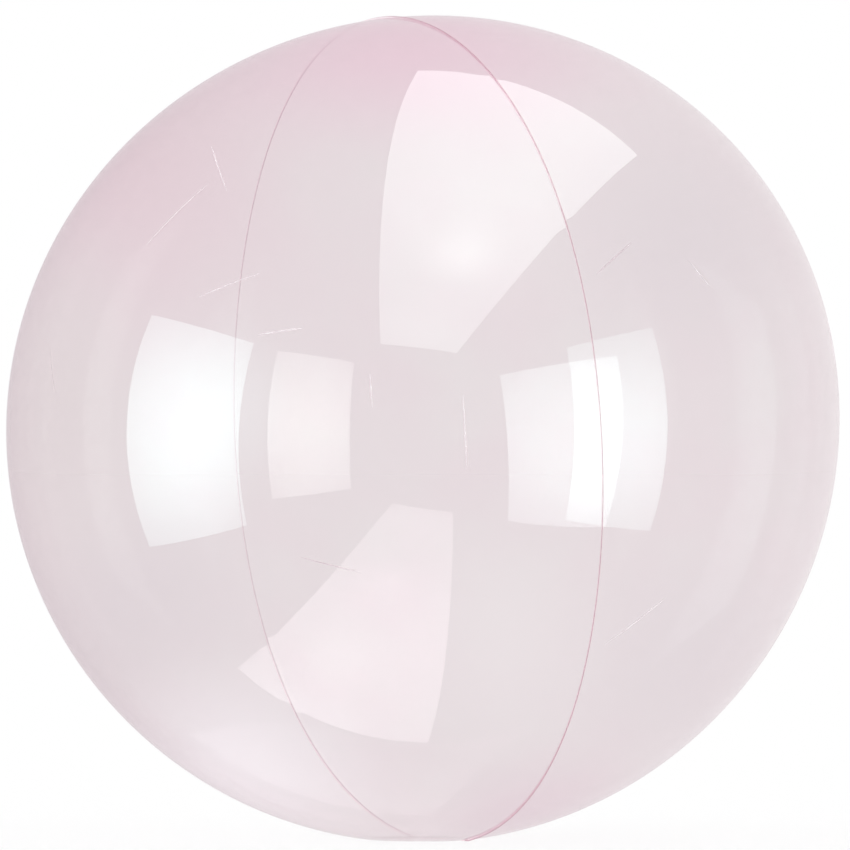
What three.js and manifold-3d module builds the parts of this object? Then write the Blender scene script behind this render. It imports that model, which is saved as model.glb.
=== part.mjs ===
// A clear bubble balloon: two panels of clear stretch film, blown into a ball and welded together
// round their rims. The blown balloon is sealed, so each panel is a solid half of the ball, and the
// weld between them is a thin ring that stands a little proud.
//
// Millimetres, +Z up. The origin is on the small flat that the balloon rests on, straight below its
// centre. The weld goes over the top from front (-Y) to back, with one panel to its left (-X) and
// one to its right.

import * as THREE from 'three';
import { mergeVertices } from 'three/addons/utils/BufferGeometryUtils.js';
import Module from 'manifold-3d';

// The ball.
const DIAMETER = 457;
const FLAT_DEPTH = 2;

// Blown film is never quite round. OVAL and LOBE are shares of the radius: the ball is longer along
// its long way and shorter across it, and three soft lobes make it a little egg-shaped. The long
// way lies in an upright plane turned LONG_WAY_BEARING from +X, at LONG_WAY_RISE above the level.
const LONG_WAY_BEARING = THREE.MathUtils.degToRad(-26.5);
const LONG_WAY_RISE = THREE.MathUtils.degToRad(34);
const LOBE_RISE = THREE.MathUtils.degToRad(42.5);
const OVAL = 0.0092;
const LOBE = 0.0036;

// The weld. Its plane leans over to the left, passes to the left of the ball's centre, and its line
// sways from that plane twice and three times on its way round. Angles run from the front upwards.
const WELD_LEAN = THREE.MathUtils.degToRad(4.1);
const WELD_OFFSET = -7.8;
const WELD_THICKNESS = 0.5;
const WELD_TIP_THICKNESS = 0.4;
const WELD_PROUD = 1.3;
const WELD_DEPTH = 3.5;
const DOUBLE_SWAY = 1.7;
const DOUBLE_SWAY_ANGLE = THREE.MathUtils.degToRad(135);
const TRIPLE_SWAY = 1.8;
const TRIPLE_SWAY_ANGLE = THREE.MathUtils.degToRad(43.6);

// Room between pieces that touch.
const GAP = 0.3;

// How finely the round shapes are cut.
const SEGMENTS = 72;
const PANEL_ROWS = 22;

const RADIUS = DIAMETER / 2;
const CENTRE_HEIGHT = RADIUS - FLAT_DEPTH;

const wasm = await Module();
wasm.setup();

// The weld's own axes: x points down along the weld's plane, y squarely across it to the right, and
// z to the front.
const weldAxes = new THREE.Matrix4().makeBasis(
  new THREE.Vector3(Math.sin(WELD_LEAN), 0, -Math.cos(WELD_LEAN)),
  new THREE.Vector3(Math.cos(WELD_LEAN), 0, Math.sin(WELD_LEAN)),
  new THREE.Vector3(0, -1, 0),
);

const longWayLevel = new THREE.Vector3(Math.cos(LONG_WAY_BEARING), Math.sin(LONG_WAY_BEARING), 0);

// How far the weld's line is from the plane through the ball's centre, at an angle round it.
function weldShift(angle) {
  const doubleSway = DOUBLE_SWAY * Math.cos(2 * (angle - DOUBLE_SWAY_ANGLE));
  const tripleSway = TRIPLE_SWAY * Math.cos(3 * (angle - TRIPLE_SWAY_ANGLE));
  return WELD_OFFSET + doubleSway + tripleSway;
}

// The blown film's radius in a direction, as a multiple of the plain ball's.
function stretch(direction) {
  const level = direction.dot(longWayLevel);
  const reach = Math.hypot(level, direction.z);
  const rise = Math.atan2(direction.z, level);
  const oval = OVAL * reach ** 2 * Math.cos(2 * (rise - LONG_WAY_RISE));
  const lobe = LOBE * reach ** 3 * Math.cos(3 * (rise - LOBE_RISE));
  return 1 + oval + lobe;
}

// Moves a point of the plain ball, given in the weld's axes, to its place in the blown one.
function blow(point) {
  const distance = point.length();
  const share = Math.hypot(point.x, point.z) / RADIUS;
  const angle = Math.atan2(-point.x, point.z);
  point.y += weldShift(angle) * share ** 2;
  point.setLength(distance);
  point.applyMatrix4(weldAxes);
  point.multiplyScalar(stretch(point.clone().normalize()));
  point.z += CENTRE_HEIGHT;
  return point;
}

// A geometry's triangles, with equal corners shared and the flat ones at the poles left out.
function sharedTriangles(geometry) {
  geometry.deleteAttribute('normal');
  geometry.deleteAttribute('uv');
  const merged = mergeVertices(geometry);
  const corners = merged.index.array;
  const kept = [];
  for (let i = 0; i < corners.length; i += 3) {
    const [a, b, c] = corners.slice(i, i + 3);
    if (a !== b && b !== c && c !== a) {
      kept.push(a, b, c);
    }
  }
  return { positions: merged.attributes.position.array, corners: kept };
}

function toSolid(geometry) {
  const { positions, corners } = sharedTriangles(geometry);
  return new wasm.Manifold(new wasm.Mesh({
    numProp: 3,
    vertProperties: new Float32Array(positions),
    triVerts: new Uint32Array(corners),
  }));
}

function toGeometry(solid) {
  const { vertProperties, triVerts } = solid.getMesh();
  const geometry = new THREE.BufferGeometry();
  geometry.setAttribute('position', new THREE.BufferAttribute(vertProperties, 3));
  geometry.setIndex(new THREE.BufferAttribute(triVerts, 1));
  geometry.computeVertexNormals();
  return geometry;
}

// Everything below the level that the balloon rests on.
function belowFloor() {
  const box = new THREE.BoxGeometry(2 * DIAMETER, 2 * DIAMETER, DIAMETER);
  box.translate(0, 0, -DIAMETER / 2);
  return toSolid(box);
}

// Turns a profile of [radius, distance across the weld] points about the weld's y axis, blows it
// into shape, and presses the resting flat into it.
function blownPiece(profile) {
  const points = profile.map(([radius, across]) => new THREE.Vector2(radius, across));
  const turned = new THREE.LatheGeometry(points, SEGMENTS);
  const position = turned.attributes.position;
  for (let i = 0; i < position.count; i += 1) {
    const point = new THREE.Vector3().fromBufferAttribute(position, i);
    position.setXYZ(i, ...blow(point).toArray());
  }
  return toGeometry(toSolid(turned).subtract(belowFloor()));
}

// A panel: round outside from its pole to its rim, then down the step that the weld sits in, and
// flat across the middle. side is -1 for the left panel and 1 for the right one.
function panelGeometry(side) {
  const rimAcross = WELD_THICKNESS / 2 + GAP;
  const stepRadius = RADIUS - WELD_DEPTH - GAP;
  const rimAngle = Math.asin(rimAcross / RADIUS);
  const profile = [];
  for (let row = 0; row <= PANEL_ROWS; row += 1) {
    const angle = THREE.MathUtils.lerp(Math.PI / 2, rimAngle, row / PANEL_ROWS);
    const radius = row === 0 ? 0 : RADIUS * Math.cos(angle);
    profile.push([radius, side * RADIUS * Math.sin(angle)]);
  }
  profile.push([stepRadius, side * rimAcross]);
  profile.push([stepRadius, side * GAP / 2]);
  profile.push([0, side * GAP / 2]);
  if (side > 0) {
    profile.reverse();
  }
  return blownPiece(profile);
}

// The weld: a thin ring, narrower at its free edge.
function weldGeometry() {
  const inner = RADIUS - WELD_DEPTH;
  const outer = RADIUS + WELD_PROUD;
  return blownPiece([
    [inner, -WELD_THICKNESS / 2],
    [outer, -WELD_TIP_THICKNESS / 2],
    [outer, WELD_TIP_THICKNESS / 2],
    [inner, WELD_THICKNESS / 2],
    [inner, -WELD_THICKNESS / 2],
  ]);
}

function filmMaterial() {
  return new THREE.MeshStandardMaterial({
    color: 0xf4e3ea,
    roughness: 0.05,
    metalness: 0,
    transparent: true,
    opacity: 0.35,
  });
}

function weldMaterial() {
  return new THREE.MeshStandardMaterial({
    color: 0xe6b9cb,
    roughness: 0.3,
    metalness: 0,
    transparent: true,
    opacity: 0.7,
  });
}

function named(name, geometry, material) {
  const mesh = new THREE.Mesh(geometry, material);
  mesh.name = name;
  return mesh;
}

const balloon = new THREE.Group();
balloon.add(named('left_film_panel', panelGeometry(-1), filmMaterial()));
balloon.add(named('right_film_panel', panelGeometry(1), filmMaterial()));
balloon.add(named('weld_seam', weldGeometry(), weldMaterial()));

export default balloon;
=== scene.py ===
"""A clear bubble balloon: two panels of blown stretch film, welded together round their rims.

Metres, +Z up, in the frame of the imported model: the balloon rests on the floor at the origin, and
its weld goes over the top from front (-Y) to back.
"""
import math

import bmesh
import bpy
from mathutils import Matrix, Vector


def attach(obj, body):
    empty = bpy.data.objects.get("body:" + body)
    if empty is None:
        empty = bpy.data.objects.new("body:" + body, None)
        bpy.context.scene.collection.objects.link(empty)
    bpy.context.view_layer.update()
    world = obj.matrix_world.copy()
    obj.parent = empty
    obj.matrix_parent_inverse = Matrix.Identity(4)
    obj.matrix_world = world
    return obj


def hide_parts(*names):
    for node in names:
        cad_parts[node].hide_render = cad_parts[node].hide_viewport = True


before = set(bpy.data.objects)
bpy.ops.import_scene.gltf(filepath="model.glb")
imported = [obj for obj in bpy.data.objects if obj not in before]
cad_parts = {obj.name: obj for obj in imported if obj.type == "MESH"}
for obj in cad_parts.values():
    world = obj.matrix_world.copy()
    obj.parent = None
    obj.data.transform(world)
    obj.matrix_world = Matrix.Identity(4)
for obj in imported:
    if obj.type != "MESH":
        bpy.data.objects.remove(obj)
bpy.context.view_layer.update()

# The ball, as it is blown. OVAL and LOBE are shares of the radius: the ball is a little longer
# along its long way, and three soft lobes make it slightly egg-shaped.
DIAMETER = 0.457
RADIUS = DIAMETER / 2
FLAT_DEPTH = 0.002
CENTRE = Vector((0, 0, RADIUS - FLAT_DEPTH))
LONG_WAY_BEARING = math.radians(-26.5)
LONG_WAY_RISE = math.radians(34)
LOBE_RISE = math.radians(42.5)
OVAL = 0.0092
LOBE = 0.0036

# The weld's plane leans to the left and passes to the left of the centre, and its line sways from
# that plane on its way round. Angles run from the front upwards.
WELD_LEAN = math.radians(4.1)
WELD_OFFSET = -0.0078
DOUBLE_SWAY = 0.0017
DOUBLE_SWAY_ANGLE = math.radians(135)
TRIPLE_SWAY = 0.0018
TRIPLE_SWAY_ANGLE = math.radians(43.6)

# The film, and the welded rim, which stands proud of the film and reaches a little inside it. The
# gap keeps pieces that meet from sharing a surface.
FILM = 0.0001
WELD_THICKNESS = 0.00015
WELD_PROUD = 0.0011
WELD_ROOT = 0.0003
RIM_GAP = 0.00002

# How thick the weld's bead is, in shares of WELD_THICKNESS: as a plain bead, how much more in front
# than behind, how much more above and below, and how much less where the films were pulled apart.
MELT_PLAIN = 0.3
MELT_FRONT = 0.2
MELT_ABOVE_AND_BELOW = 0.5
MELT_PULLED = 0.55
PULLED_ANGLE = math.radians(100)
PULLED_SPREAD = math.radians(22)

# Creases pressed into the film before it was blown. Each is given by its bearing from the front
# towards the right and its rise above level, its heading from level, all in degrees, and its length
# in mm.
CREASE_WIDTH = 0.0006
CREASE_HEIGHT = 0.00016
CREASES = [
    (-69, 30.5, 55, 48),
    (-64.5, 38, -50, 42),
    (-55.5, 19.5, 21, 38),
    (-46.5, 13, 8, 25),
    (-33.5, 5, -85, 18),
    (-21, -0.5, -87, 40),
    (7.5, -27, 42, 42),
    (17, 21, -54, 18),
    (58, 12, 70, 30),
    (122, 25, -35, 34),
    (-140, 8, 60, 28),
    (168, -20, 15, 36),
]

# Noise below the low limit gives a mottled colour's plain end, and above the high one its other.
MOTTLE_LOW = 0.35
MOTTLE_HIGH = 0.65

# How finely the round shapes are cut, and the angle from which an edge stays sharp.
AROUND = 256
POLE_TO_RIM = 64
WELD_SEGMENTS = 16
CREASE_SEGMENTS = 12
CREASE_RINGS = 24
SHARP_EDGE = math.radians(40)

# The studio's own directions, as seen by the camera: right, up, and front towards the camera.
VIEW_BEARING = math.radians(-26.5)
STUDIO_RIGHT = Vector((math.cos(VIEW_BEARING), math.sin(VIEW_BEARING), 0))
STUDIO_UP = Vector((0, 0, 1))
STUDIO_FRONT = Vector((math.sin(VIEW_BEARING), -math.cos(VIEW_BEARING), 0))

# The camera: how far away, how much of the frame the ball fills, and how far it aims off the centre.
CAMERA_DISTANCE = 24 * RADIUS
CAMERA_CLIP_END = 100
SENSOR_WIDTH = 36
FRAME_FILL = 0.977
AIM_RIGHT = 0.0007
AIM_UP = 0.0017

# The floor: its size, its paint, and the share of its white that is its own, so that shadows on it
# stay pale.
FLOOR_RADIUS = 40
FLOOR_SEGMENTS = 128
FLOOR_WHITE = 0.8
FLOOR_GLOW = 0.85

# What the film mirrors beside the balloon. The change from the left grey to the right one spreads
# over this much to each side, as a share of a direction's length.
STUDIO_LEFT_GREY = "#dcd1d6"
STUDIO_RIGHT_GREY = "#fffafb"
STUDIO_SIDE = 0.4

# Light that the near film mirrors passes two of the film's faces at most, and light that the far
# film's inside mirrors passes four or more. This many faces tells the two apart.
FACES_BETWEEN = 2.5

# The film's colour, and the one that it wanders to.
FILM_COLOUR = "#f3eff0"
FILM_SECOND_COLOUR = "#f3edef"

# Painted reflection and shade in the film's colour: patches painted paler or pinker, as seen from the front.
# Each row gives how far right and up from the middle, the patch's half width and half height, all in
# ball radii, and the painted colour in the middle of the patch. A patch reaches through to the back of the
# ball.
PATCH_HALF_DEPTH = 8
PAINTED_LIGHT_PATCHES = [
    (-0.74, 0.64, 0.66, 0.62, "#f2e7eb"),
    (-0.05, 0.95, 0.85, 0.34, "#f5e5ec"),
    (-0.70, -0.42, 0.40, 0.35, "#f0ebed"),
    (-0.90, 0.05, 0.32, 0.60, "#f1eced"),
    (0.64, 0.46, 0.42, 0.42, "#f0ebed"),
    (0.68, -0.58, 0.42, 0.40, "#f1ecee"),
    (-0.50, -0.86, 0.50, 0.36, "#fcf9fb"),
    (0.32, -0.98, 0.40, 0.24, "#f1e6eb"),
    (0.18, -0.50, 0.35, 0.35, "#f5f1f2"),
    (-0.43, 0.05, 0.14, 0.25, "#f6f3f4"),
]


def studio(right, up, front):
    """A vector in the model's frame, given in the studio's directions."""
    return STUDIO_RIGHT * right + STUDIO_UP * up + STUDIO_FRONT * front


# --- Shape -------------------------------------------------------------------------------------

# The weld's own axes: x down along the weld's plane, y squarely across it to the right, z front.
WELD_AXES = Matrix((
    (math.sin(WELD_LEAN), math.cos(WELD_LEAN), 0),
    (0, 0, -1),
    (-math.cos(WELD_LEAN), math.sin(WELD_LEAN), 0),
))
LONG_WAY_LEVEL = Vector((math.cos(LONG_WAY_BEARING), math.sin(LONG_WAY_BEARING), 0))


def weld_shift(angle):
    """How far the weld's line is from the plane through the ball's centre, at an angle round it."""
    double = DOUBLE_SWAY * math.cos(2 * (angle - DOUBLE_SWAY_ANGLE))
    triple = TRIPLE_SWAY * math.cos(3 * (angle - TRIPLE_SWAY_ANGLE))
    return WELD_OFFSET + double + triple


def stretch(direction):
    """The blown film's radius in a direction, as a multiple of the plain ball's."""
    level = direction.dot(LONG_WAY_LEVEL)
    reach = math.hypot(level, direction.z)
    rise = math.atan2(direction.z, level)
    oval = OVAL * reach ** 2 * math.cos(2 * (rise - LONG_WAY_RISE))
    lobe = LOBE * reach ** 3 * math.cos(3 * (rise - LOBE_RISE))
    return 1 + oval + lobe


def blow(point):
    """The place in the blown ball of a point of the plain one, which is given in the weld's axes."""
    distance = point.length
    share = math.hypot(point.x, point.z) / RADIUS
    angle = math.atan2(-point.x, point.z)
    moved = point + Vector((0, weld_shift(angle) * share ** 2, 0))
    moved.length = distance
    placed = WELD_AXES @ moved
    placed = placed * stretch(placed.normalized()) + CENTRE
    depth_in_film = max(RADIUS - distance, 0)
    placed.z = max(placed.z, depth_in_film)
    return placed


def add_object(bm, name, material):
    """Turns a finished bmesh into an object of the scene."""
    mesh = bpy.data.meshes.new(name)
    bm.to_mesh(mesh)
    bm.free()
    mesh.materials.append(material)
    added = bpy.data.objects.new(name, mesh)
    bpy.context.scene.collection.objects.link(added)
    return added


def add_piece(bm, name, material):
    """Smooths a finished bmesh and makes it a piece of the balloon."""
    for face in bm.faces:
        face.smooth = True
    piece = add_object(bm, name, material)
    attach(piece, "root")
    return piece


def add_blown_piece(bm, name, material):
    """Blows a shape turned in the weld's axes, and puts it in place of the CAD node of its name."""
    for vert in bm.verts:
        vert.co = blow(vert.co)
    for edge in bm.edges:
        edge.smooth = edge.calc_face_angle() < SHARP_EDGE
    piece = add_piece(bm, name, material)
    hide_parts(name)


def film_panel(side, name, material):
    """Half of the ball: a half sphere up to the weld, with the film's thickness inside it."""
    bm = bmesh.new()
    bmesh.ops.create_uvsphere(bm, u_segments=AROUND, v_segments=2 * POLE_TO_RIM, radius=RADIUS)
    bmesh.ops.rotate(bm, cent=(0, 0, 0), matrix=Matrix.Rotation(math.pi / 2, 3, "X"), verts=bm.verts)
    rim = Vector((0, side * (WELD_THICKNESS / 2 + RIM_GAP), 0))
    whole = bm.verts[:] + bm.edges[:] + bm.faces[:]
    bmesh.ops.bisect_plane(bm, geom=whole, dist=FILM / 1000, plane_co=rim, plane_no=rim, clear_inner=True)
    bmesh.ops.recalc_face_normals(bm, faces=bm.faces)
    bmesh.ops.solidify(bm, geom=bm.faces[:], thickness=FILM)
    add_blown_piece(bm, name, material)


def melt(angle):
    """How thick the weld's bead is at an angle round it: thick above and below, thin at the back,
    and thin right at the top, where the films were pulled apart."""
    above_and_below = MELT_ABOVE_AND_BELOW * math.sin(angle) ** 2
    pulled = MELT_PULLED * math.exp(-((angle - PULLED_ANGLE) / PULLED_SPREAD) ** 2)
    return MELT_PLAIN + MELT_FRONT * math.cos(angle) + above_and_below - pulled


def weld_seam(material):
    """The welded rim: a thin bead, turned round the ball."""
    bm = bmesh.new()
    half_height = (WELD_PROUD + WELD_ROOT) / 2
    middle = RADIUS + WELD_PROUD - half_height
    bead = bmesh.ops.create_circle(bm, cap_ends=False, segments=WELD_SEGMENTS, radius=1)
    size = Matrix.Diagonal((half_height, WELD_THICKNESS / 2, 1, 1))
    place = Matrix.Translation((middle, 0, 0)) @ size
    bmesh.ops.transform(bm, matrix=place, verts=bead["verts"])
    bmesh.ops.spin(bm, geom=bm.edges[:] + bm.verts[:], cent=(0, 0, 0), axis=(0, 1, 0), angle=math.tau,
                   steps=AROUND, use_merge=True)
    bmesh.ops.recalc_face_normals(bm, faces=bm.faces)
    for vert in bm.verts:
        vert.co.y *= melt(math.atan2(-vert.co.x, vert.co.z))
    add_blown_piece(bm, "weld_seam", material)


def film_creases(material):
    """Creases in the blown film: low beads that lie on it, tapering to nothing at both ends."""
    bm = bmesh.new()
    for *angles, length_mm in CREASES:
        bearing, rise, heading = (math.radians(angle) for angle in angles)
        level = Vector((math.sin(bearing), -math.cos(bearing), 0))
        right = Vector((-level.y, level.x, 0))
        outward = level * math.cos(rise) + STUDIO_UP * math.sin(rise)
        above = outward.cross(right)
        along = right * math.cos(heading) + above * math.sin(heading)
        bead = bmesh.ops.create_uvsphere(bm, u_segments=CREASE_SEGMENTS, v_segments=CREASE_RINGS,
                                         radius=0.5)["verts"]
        size = Matrix.Diagonal((CREASE_WIDTH, CREASE_HEIGHT, length_mm / 1000, 1))
        bmesh.ops.transform(bm, matrix=size, verts=bead)
        for vert in bead:
            across, height, run = vert.co
            direction = outward * math.cos(run / RADIUS) + along * math.sin(run / RADIUS)
            lift = RADIUS * stretch(direction) + height + CREASE_HEIGHT / 2 + RIM_GAP
            vert.co = CENTRE + direction * lift + along.cross(outward) * across
    bmesh.ops.recalc_face_normals(bm, faces=bm.faces)
    add_piece(bm, "film_creases", material)


# --- Materials ---------------------------------------------------------------------------------

def linear(hex_colour):
    """An sRGB hex colour as linear red, green, blue and 1."""
    channels = [int(hex_colour[i:i + 2], 16) / 255 for i in (1, 3, 5)]
    return [c / 12.92 if c <= 0.04045 else ((c + 0.055) / 1.055) ** 2.4 for c in channels] + [1]


def add_node(tree, kind, inputs=None, **settings):
    """A node of a kind, with its settings, and with its inputs given values or linked to sockets.
    An input is given by its number, or by its name among the ones in use."""
    node = tree.nodes.new(kind)
    for name, value in settings.items():
        setattr(node, name, value)
    for key, value in (inputs or {}).items():
        if isinstance(key, str):
            socket = next(i for i in node.inputs if i.enabled and i.name == key)
        else:
            socket = node.inputs[key]
        if isinstance(value, bpy.types.NodeSocket):
            tree.links.new(value, socket)
        else:
            socket.default_value = value
    return node


def output(node, name):
    """A node's output of a name, among the ones in use."""
    return next(o for o in node.outputs if o.enabled and o.name == name)


def new_material(name):
    """A material of a name, with no nodes yet."""
    material = bpy.data.materials.new(name)
    material.use_nodes = True
    material.node_tree.nodes.clear()
    return material


def mottled(tree, plain, other, grain_mm):
    """A colour that wanders between two, in patches of about the grain's size."""
    place = add_node(tree, "ShaderNodeTexCoord")
    patches = add_node(tree, "ShaderNodeTexNoise", {
        "Vector": place.outputs["Object"],
        "Scale": 1000 / grain_mm,
        "Detail": 3.0,
    })
    share = add_node(tree, "ShaderNodeMapRange", {
        "Value": patches.outputs["Fac"],
        "From Min": MOTTLE_LOW,
        "From Max": MOTTLE_HIGH,
    })
    colour = add_node(tree, "ShaderNodeMix", {
        "Factor": share.outputs[0],
        "A": linear(plain),
        "B": linear(other),
    }, data_type="RGBA")
    return output(colour, "Result")


def stretch_film_and_painted_light():
    """Blown polyurethane stretch film: clear and glossy, with a faint pink tint that wanders a
    little at random. Mixed into its colour are patches of painted reflection and shade, some paler
    and some pinker, that run through the ball along the camera's view."""
    material = new_material("stretch_film_and_painted_light")
    tree = material.node_tree
    colour = mottled(tree, FILM_COLOUR, FILM_SECOND_COLOUR, grain_mm=60)
    place = add_node(tree, "ShaderNodeTexCoord")
    # Patches of painted reflection and shade: each softly mixes its painted colour into the film's own, in a
    # prism along the camera's view.
    for right, up, half_width, half_height, painted_colour in PAINTED_LIGHT_PATCHES:
        mapping = add_node(tree, "ShaderNodeMapping", {
            "Vector": place.outputs["Object"],
            "Location": CENTRE + studio(right, up, 0) * RADIUS,
            "Rotation": (0, 0, VIEW_BEARING),
            "Scale": Vector((half_width, PATCH_HALF_DEPTH, half_height)) * RADIUS,
        }, vector_type="TEXTURE")
        patch = add_node(tree, "ShaderNodeTexGradient", {"Vector": mapping.outputs[0]},
                         gradient_type="SPHERICAL")
        soft = add_node(tree, "ShaderNodeMapRange", {"Value": patch.outputs["Fac"]},
                        interpolation_type="SMOOTHSTEP")
        blend = add_node(tree, "ShaderNodeMix", {
            "Factor": soft.outputs[0],
            "A": colour,
            "B": linear(painted_colour),
        }, data_type="RGBA")
        colour = output(blend, "Result")
    film = add_node(tree, "ShaderNodeBsdfPrincipled", {
        "Base Color": colour,
        "Roughness": 0.0,
        "IOR": 1.5,
        "Transmission Weight": 1.0,
    })
    add_node(tree, "ShaderNodeOutputMaterial", {"Surface": film.outputs["BSDF"]})
    return material


def melted_film():
    """Stretch film melted together in a weld: clear, but pinker, because it is seen edge on, and
    slightly uneven where the hot bar pressed it."""
    material = new_material("melted_film")
    tree = material.node_tree
    film = add_node(tree, "ShaderNodeBsdfPrincipled", {
        "Base Color": mottled(tree, "#fdf6f9", "#fbeff4", grain_mm=4),
        "Roughness": 0.03,
        "IOR": 1.5,
        "Transmission Weight": 1.0,
    })
    depth = add_node(tree, "ShaderNodeVolumeAbsorption", {
        "Color": linear("#fc2f98"),
        "Density": 700.0,
    })
    add_node(tree, "ShaderNodeOutputMaterial",
             {"Surface": film.outputs["BSDF"], "Volume": depth.outputs["Volume"]})
    return material


def creased_film():
    """Stretch film whitened along a crease: milky where the fold strained it. The crease is too fine
    to bend the light behind it, so its IOR is close to air's, and it hides only part of that."""
    material = new_material("creased_film")
    tree = material.node_tree
    film = add_node(tree, "ShaderNodeBsdfPrincipled", {
        "Base Color": mottled(tree, "#fffdfe", "#f6eff2", grain_mm=3),
        "Roughness": 0.0,
        "IOR": 1.08,
        "Transmission Weight": 0.68,
    })
    add_node(tree, "ShaderNodeOutputMaterial", {"Surface": film.outputs["BSDF"]})
    return material


# --- Studio ------------------------------------------------------------------------------------

def softbox(name, place, facing, top, size, colour, edge, lamps, inside):
    """A softbox that shows only as a window in the film: in the near film, or in the far film's
    inside. place and size are in ball radii; facing and top say how it is turned. edge is the
    brightness of its cloth at the edges, and each lamp behind the cloth adds a soft pool of light:
    its place across and up the cloth from -1 to 1, the pool's half width and height, and how
    bright its middle is. How many of the film's faces the light has passed tells which film mirrors
    it."""
    light = bpy.data.lights.new(name, "AREA")
    light.shape = "RECTANGLE"
    light.size, light.size_y = (side * RADIUS for side in size)
    light.energy = math.pi * light.size * light.size_y
    light.use_nodes = True
    tree = light.node_tree
    tree.nodes.clear()
    path = add_node(tree, "ShaderNodeLightPath")
    mirrored = add_node(tree, "ShaderNodeMath", {0: path.outputs["Glossy Depth"], 1: 0.5},
                        operation="GREATER_THAN")
    film_passed = add_node(tree, "ShaderNodeMath", {0: path.outputs["Transmission Depth"], 1: FACES_BETWEEN},
                           operation="GREATER_THAN" if inside else "LESS_THAN")
    seen = add_node(tree, "ShaderNodeMath", {0: mirrored.outputs[0], 1: film_passed.outputs[0]},
                    operation="MULTIPLY")
    cloth = add_node(tree, "ShaderNodeNewGeometry")
    brightness = edge
    for across, up, half_width, half_height, middle in lamps:
        mapping = add_node(tree, "ShaderNodeMapping", {
            "Vector": cloth.outputs["Parametric"],
            "Location": ((1 + across) / 2, (1 + up) / 2, 0),
            "Scale": (half_width / 2, half_height / 2, 1),
        }, vector_type="TEXTURE")
        pool = add_node(tree, "ShaderNodeTexGradient", {"Vector": mapping.outputs[0]},
                        gradient_type="SPHERICAL")
        soft = add_node(tree, "ShaderNodeMapRange", {"Value": pool.outputs["Fac"], "To Max": middle},
                        interpolation_type="SMOOTHSTEP")
        total = add_node(tree, "ShaderNodeMath", {0: soft.outputs[0], 1: brightness}, operation="ADD")
        brightness = total.outputs[0]
    strength = add_node(tree, "ShaderNodeMath", {0: seen.outputs[0], 1: brightness},
                        operation="MULTIPLY")
    glow = add_node(tree, "ShaderNodeEmission", {"Color": linear(colour), "Strength": strength.outputs[0]})
    add_node(tree, "ShaderNodeOutputLight", {"Surface": glow.outputs[0]})
    box = bpy.data.objects.new(name, light)
    back = -studio(*facing).normalized()
    side = studio(*top).cross(back).normalized()
    turned = Matrix((side, back.cross(side), back)).transposed().to_4x4()
    box.matrix_world = Matrix.Translation(CENTRE + studio(*place) * RADIUS) @ turned
    bpy.context.scene.collection.objects.link(box)


def softboxes():
    """The three softboxes, overhead, left and right, each once for the near film and once for the
    far film's inside. Their places, turns and sizes weren't chosen by hand: they are copied from
    what a separate fitting program printed."""
    softbox("overhead", (0.678, 4.196, 4.234), (-0.083, -0.992, -0.09), (0.166, 0.076, -0.983),
            (3.621, 11.338), "#effffa", edge=1.25, inside=False,
            lamps=[(0, 0.4, 2.4, 1.0, 0.9), (0.1, 0.02, 0.7, 0.25, 0.9), (0, -0.65, 1.6, 0.5, 0.4)])
    softbox("overhead_inside", (0.764, 4.308, 4.106), (-0.123, -0.992, -0.02), (0.134, 0.004, -0.991),
            (3.321, 11.131), "#f4fffb", edge=1.6, inside=True,
            lamps=[(0, 0.45, 2.2, 0.9, 1.0), (0.15, 0.63, 0.7, 0.25, 0.6), (0.1, 0.08, 0.6, 0.22, 0.6),
                   (0, -0.65, 1.6, 0.45, 0.3)])
    softbox("left", (-5.393, -0.12, 2.626), (0.952, -0.064, -0.298), (0.068, 0.998, 0.006),
            (3.756, 5.187), "#dcfffa", edge=1.2, inside=False, lamps=[(0.1, 0.05, 2.0, 1.5, 2.6)])
    softbox("left_inside", (-4.146, 0.858, 4.251), (0.696, 0.177, -0.696), (-0.159, 0.983, 0.091),
            (3.938, 5.252), "#dcfff8", edge=2.0, inside=True, lamps=[(-0.1, -0.1, 2.2, 1.5, 2.7)])
    softbox("right", (4.665, -0.174, 3.77), (-0.867, 0.005, -0.498), (-0.014, 0.999, 0.034),
            (2.843, 4.819), "#dcfffa", edge=1.0, inside=False, lamps=[(-0.2, -0.05, 2.6, 1.3, 2.2)])
    softbox("right_inside", (3.414, -0.185, 4.93), (-0.743, -0.02, -0.669), (-0.005, 1.0, -0.023),
            (2.835, 4.441), "#ebfff4", edge=1.7, inside=True, lamps=[(0, 0.05, 2.0, 1.5, 2.1)])


def white_cove():
    """The white sweep behind and round the balloon, brighter on matt things so that the floor's
    paint looks white too. The film mirrors the studio beside it: a paler grey on the right."""
    world = bpy.data.worlds.new("white_cove")
    bpy.context.scene.world = world
    world.cycles.sampling_method = "NONE"
    world.use_nodes = True
    tree = world.node_tree
    tree.nodes.clear()
    path = add_node(tree, "ShaderNodeLightPath")
    on_matt = add_node(tree, "ShaderNodeMapRange",
                       {"Value": path.outputs["Diffuse Depth"], "To Min": 1, "To Max": 1 / FLOOR_WHITE})
    direction = add_node(tree, "ShaderNodeTexCoord")
    across = add_node(tree, "ShaderNodeVectorMath", {0: direction.outputs["Generated"], 1: STUDIO_RIGHT},
                      operation="DOT_PRODUCT")
    right_share = add_node(tree, "ShaderNodeMapRange", {
        "Value": across.outputs["Value"],
        "From Min": -STUDIO_SIDE,
        "From Max": STUDIO_SIDE,
    }, interpolation_type="SMOOTHSTEP")
    grey = add_node(tree, "ShaderNodeMix", {
        "Factor": right_share.outputs[0],
        "A": linear(STUDIO_LEFT_GREY),
        "B": linear(STUDIO_RIGHT_GREY),
    }, data_type="RGBA")
    colour = add_node(tree, "ShaderNodeMix", {
        "Factor": path.outputs["Glossy Depth"],
        "A": (1, 1, 1, 1),
        "B": output(grey, "Result"),
    }, data_type="RGBA")
    white = add_node(tree, "ShaderNodeBackground",
                     {"Color": output(colour, "Result"), "Strength": on_matt.outputs[0]})
    add_node(tree, "ShaderNodeOutputWorld", {"Surface": white.outputs[0]})


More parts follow.
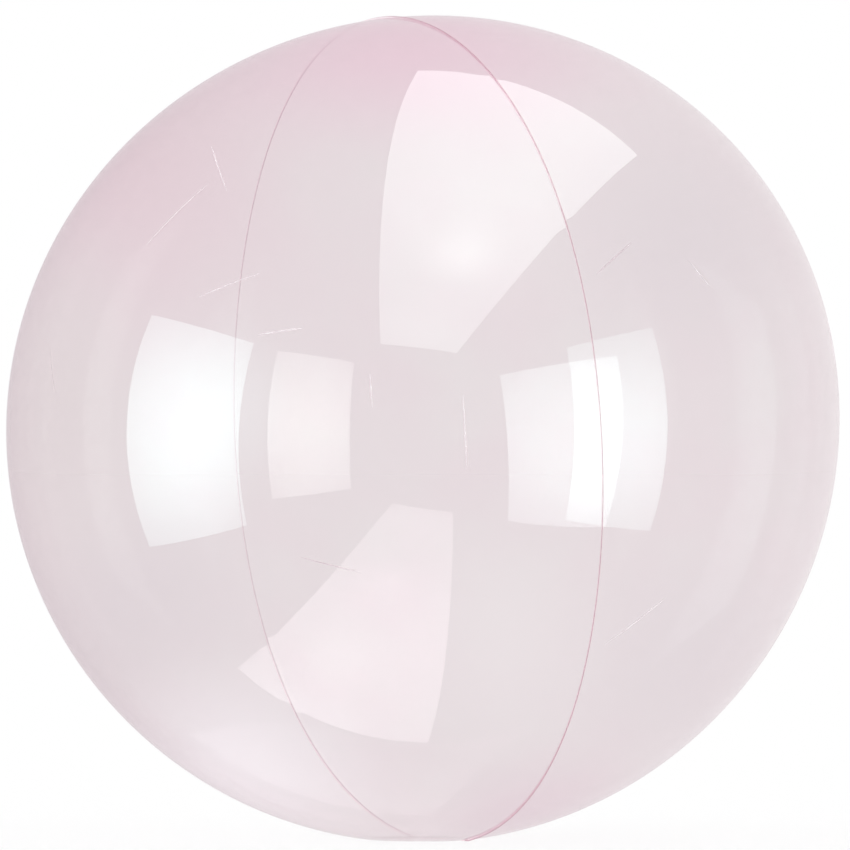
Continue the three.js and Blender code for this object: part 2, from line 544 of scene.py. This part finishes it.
def white_floor():
    """A floor painted matt white, that the film's mirror doesn't show, so that it shows the softboxes
    whole."""
    material = new_material("painted_floor")
    tree = material.node_tree
    path = add_node(tree, "ShaderNodeLightPath")
    paint = add_node(tree, "ShaderNodeBsdfDiffuse", {"Color": (FLOOR_WHITE, FLOOR_WHITE, FLOOR_WHITE, 1)})
    glow = add_node(tree, "ShaderNodeEmission", {"Color": (1, 1, 1, 1), "Strength": 1})
    lit = add_node(tree, "ShaderNodeMixShader", {0: FLOOR_GLOW, 1: paint.outputs[0], 2: glow.outputs[0]})
    clear = add_node(tree, "ShaderNodeBsdfTransparent")
    floor_or_softbox = add_node(tree, "ShaderNodeMixShader",
                                {0: path.outputs["Glossy Depth"], 1: lit.outputs[0], 2: clear.outputs[0]})
    add_node(tree, "ShaderNodeOutputMaterial", {"Surface": floor_or_softbox.outputs[0]})
    bm = bmesh.new()
    bmesh.ops.create_circle(bm, cap_ends=True, segments=FLOOR_SEGMENTS, radius=FLOOR_RADIUS)
    add_object(bm, "floor", material)


def camera():
    """A long lens, level with the ball's centre, so that the ball nearly fills the frame."""
    data = bpy.data.cameras.new("camera")
    data.sensor_width = SENSOR_WIDTH
    distance = CAMERA_DISTANCE / RADIUS
    data.lens = SENSOR_WIDTH / 2 * FRAME_FILL * math.sqrt(distance ** 2 - 1)
    data.clip_end = CAMERA_CLIP_END
    eye = bpy.data.objects.new("camera", data)
    turned = Matrix((STUDIO_RIGHT, STUDIO_UP, STUDIO_FRONT)).transposed().to_4x4()
    place = CENTRE + studio(AIM_RIGHT, AIM_UP, CAMERA_DISTANCE)
    eye.matrix_world = Matrix.Translation(place) @ turned
    bpy.context.scene.collection.objects.link(eye)
    bpy.context.scene.camera = eye


def picture():
    """Plain tones, and enough bounces for light to run round inside the ball. Mirrored light isn't
    blurred, because a blur would make the film rough and the floor under it dark."""
    scene = bpy.context.scene
    scene.view_settings.view_transform = "Standard"
    scene.cycles.max_bounces = 24
    scene.cycles.transmission_bounces = 24
    scene.cycles.glossy_bounces = 12
    scene.cycles.use_adaptive_sampling = False
    scene.cycles.use_denoising = True
    scene.cycles.blur_glossy = 0


film = stretch_film_and_painted_light()
film_panel(-1, "left_film_panel", film)
film_panel(1, "right_film_panel", film)
weld_seam(melted_film())
film_creases(creased_film())
camera()
softboxes()
white_cove()
white_floor()
picture()
